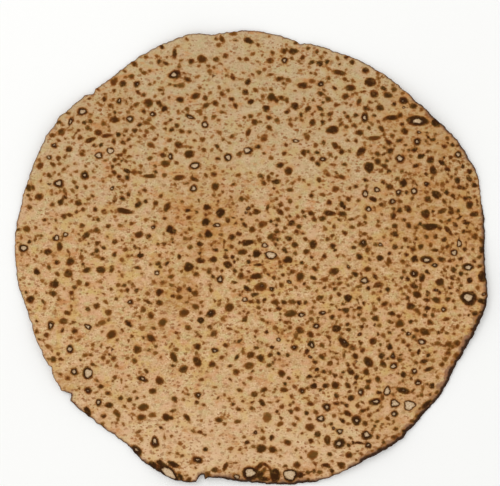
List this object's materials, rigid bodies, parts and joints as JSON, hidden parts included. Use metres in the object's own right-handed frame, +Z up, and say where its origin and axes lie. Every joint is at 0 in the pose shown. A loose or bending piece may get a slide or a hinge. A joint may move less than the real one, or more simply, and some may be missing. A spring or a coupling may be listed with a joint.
{
  "type": "matzo sheet",
  "caption": "Thin round sheet of handmade unleavened bread with a wavy body, an uneven nicked rim, and browned and burst blisters; it lies flat.",
  "frame": {"origin": "on the surface that the sheet lies on, under the middle of its plan's bounding box", "axes": "+Z up out of the face that baked uppermost, +X along the sheet's widest way"},
  "size_m": [0.2998, 0.2882, 0.0071],
  "materials": {
    "baked_crust": "matte"
  },
  "bodies": {
    "root": {"matzo_sheet": "baked_crust"}
  },
  "joints": []
}
